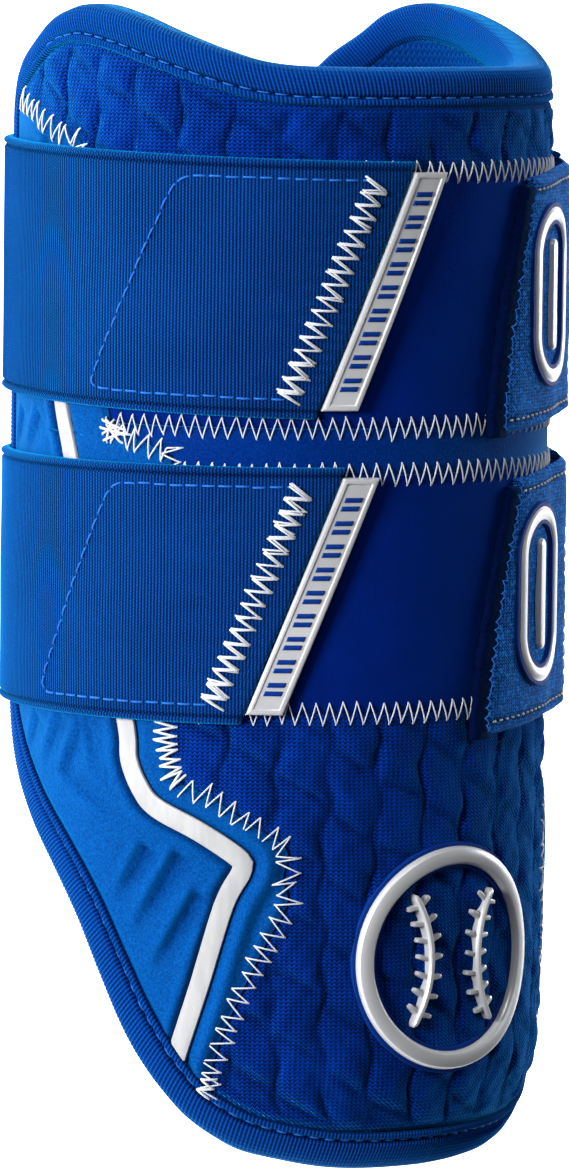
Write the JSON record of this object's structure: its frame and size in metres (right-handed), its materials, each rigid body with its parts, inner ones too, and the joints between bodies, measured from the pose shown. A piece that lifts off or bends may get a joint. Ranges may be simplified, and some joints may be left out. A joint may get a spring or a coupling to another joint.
{
  "type": "baseball elbow guard",
  "caption": "Padded half-sleeve for the front of an elbow, open at the back, closed by wide elastic straps with slanted pull tabs over a knit front and moulded side panels.",
  "frame": {"origin": "Middle of the box on the surface that the guard lies on, under the lower strap.", "axes": "+Z is the front of the guard, +Y runs to its upper-arm end, X runs across the arm."},
  "size_m": [0.1114, 0.2272, 0.0989],
  "materials": {
    "lining": "ribbed lining",
    "foam": "matte",
    "knit": "embossed knit",
    "loop_cloth": "brushed loop",
    "smooth_stretch": "smooth matte",
    "white_film": "matte film",
    "binding_tape": "ribbed tape",
    "webbing": "ribbed elastic",
    "pale_rubber": "satin",
    "tab_knit": "knit",
    "thread": "thread"
  },
  "bodies": {
    "root": {"lining": "lining", "pad_core": "foam", "knit_panel_front": "knit", "knit_panel_top": "knit", "loop_panel_lower": "loop_cloth", "loop_panel_upper": "loop_cloth", "mid_band": "smooth_stretch", "side_panel_left": "smooth_stretch", "side_panel_right": "smooth_stretch", "side_stripe_left": "white_film", "side_stripe_right": "white_film", "edge_binding": "binding_tape", "upper_strap": "webbing", "lower_strap": "webbing", "upper_pull_tab": "pale_rubber", "lower_pull_tab": "pale_rubber", "upper_anchor_tab": "tab_knit", "lower_anchor_tab": "tab_knit", "upper_badge": "pale_rubber", "lower_badge": "pale_rubber", "emblem_ring": "pale_rubber", "emblem_seam_left": "pale_rubber", "emblem_seam_right": "pale_rubber"}
  },
  "joints": []
}
